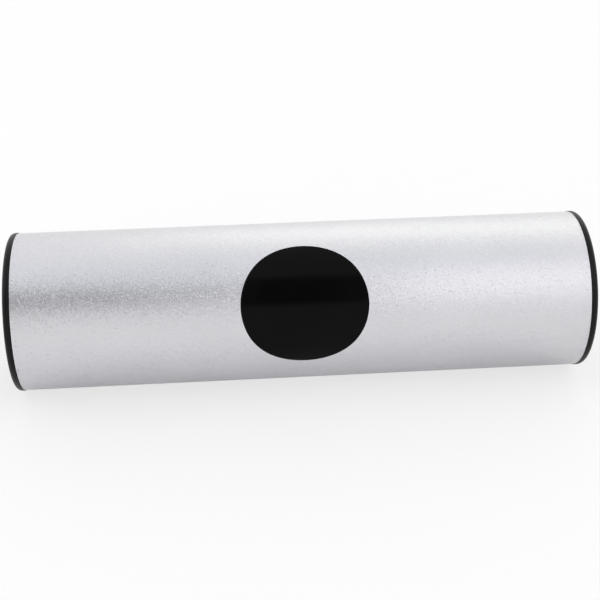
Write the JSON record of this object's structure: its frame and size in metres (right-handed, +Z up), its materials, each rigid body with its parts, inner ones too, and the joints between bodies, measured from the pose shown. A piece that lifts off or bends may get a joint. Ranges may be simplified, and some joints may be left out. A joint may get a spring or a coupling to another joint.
{
  "type": "ganza shaker",
  "caption": "Tube shaker of satin aluminium with black plastic end caps and a plain round label, holding loose steel shot that runs along and round the bore.",
  "frame": {"origin": "on the surface the shaker lies on, below the middle of the tube", "axes": "+X along the tube, to the right seen from the front; -Y is the front, where the label shows; +Z up"},
  "size_m": [0.2182, 0.0604, 0.0604],
  "materials": {
    "tube": "satin, finely blasted",
    "cap": "moulded, satin edge",
    "label": "satin vinyl",
    "shot": "polished balls"
  },
  "bodies": {
    "shaker": {"tube": "tube", "left_cap": "cap", "right_cap": "cap", "label": "label"},
    "shot_row_01": {"shot_row_01": "shot"},
    "shot_row_02": {"shot_row_02": "shot"},
    "shot_row_03": {"shot_row_03": "shot"},
    "shot_row_04": {"shot_row_04": "shot"},
    "shot_row_05": {"shot_row_05": "shot"},
    "shot_row_06": {"shot_row_06": "shot"},
    "shot_row_07": {"shot_row_07": "shot"},
    "shot_row_08": {"shot_row_08": "shot"},
    "shot_row_09": {"shot_row_09": "shot"},
    "shot_row_10": {"shot_row_10": "shot"},
    "shot_row_11": {"shot_row_11": "shot"},
    "shot_row_12": {"shot_row_12": "shot"},
    "shot_row_13": {"shot_row_13": "shot"},
    "shot_row_14": {"shot_row_14": "shot"},
    "shot_row_15": {"shot_row_15": "shot"},
    "shot_row_16": {"shot_row_16": "shot"}
  },
  "joints": [
    {"name": "bed_tumble", "type": "hinge", "parent": "shaker", "child": "shot_row_04", "pos_m": [0, 0, 0.0302], "axis": [1, 0, 0], "continuous": true},
    {"name": "shot_run_01", "type": "slide", "parent": "shot_row_04", "child": "shot_row_01", "axis": [1, 0, 0], "range_m": [-0.0467, 0.0467]},
    {"name": "shot_run_02", "type": "slide", "parent": "shot_row_04", "child": "shot_row_02", "axis": [1, 0, 0], "range_m": [-0.0467, 0.0467]},
    {"name": "shot_run_03", "type": "slide", "parent": "shot_row_04", "child": "shot_row_03", "axis": [1, 0, 0], "range_m": [-0.0467, 0.0467]},
    {"name": "shot_run_05", "type": "slide", "parent": "shot_row_04", "child": "shot_row_05", "axis": [1, 0, 0], "range_m": [-0.0467, 0.0467]},
    {"name": "shot_run_06", "type": "slide", "parent": "shot_row_04", "child": "shot_row_06", "axis": [1, 0, 0], "range_m": [-0.0467, 0.0467]},
    {"name": "shot_run_07", "type": "slide", "parent": "shot_row_04", "child": "shot_row_07", "axis": [1, 0, 0], "range_m": [-0.0467, 0.0467]},
    {"name": "shot_run_08", "type": "slide", "parent": "shot_row_04", "child": "shot_row_08", "axis": [1, 0, 0], "range_m": [-0.0655, 0.0655]},
    {"name": "shot_run_09", "type": "slide", "parent": "shot_row_04", "child": "shot_row_09", "axis": [1, 0, 0], "range_m": [-0.0655, 0.0655]},
    {"name": "shot_run_10", "type": "slide", "parent": "shot_row_04", "child": "shot_row_10", "axis": [1, 0, 0], "range_m": [-0.0655, 0.0655]},
    {"name": "shot_run_11", "type": "slide", "parent": "shot_row_04", "child": "shot_row_11", "axis": [1, 0, 0], "range_m": [-0.0655, 0.0655]},
    {"name": "shot_run_12", "type": "slide", "parent": "shot_row_04", "child": "shot_row_12", "axis": [1, 0, 0], "range_m": [-0.0655, 0.0655]},
    {"name": "shot_run_13", "type": "slide", "parent": "shot_row_04", "child": "shot_row_13", "axis": [1, 0, 0], "range_m": [-0.0655, 0.0655]},
    {"name": "shot_run_14", "type": "slide", "parent": "shot_row_04", "child": "shot_row_14", "axis": [1, 0, 0], "range_m": [-0.0704, 0.0704]},
    {"name": "shot_run_15", "type": "slide", "parent": "shot_row_04", "child": "shot_row_15", "axis": [1, 0, 0], "range_m": [-0.0704, 0.0704]},
    {"name": "shot_run_16", "type": "slide", "parent": "shot_row_04", "child": "shot_row_16", "axis": [1, 0, 0], "range_m": [-0.0704, 0.0704]}
  ]
}
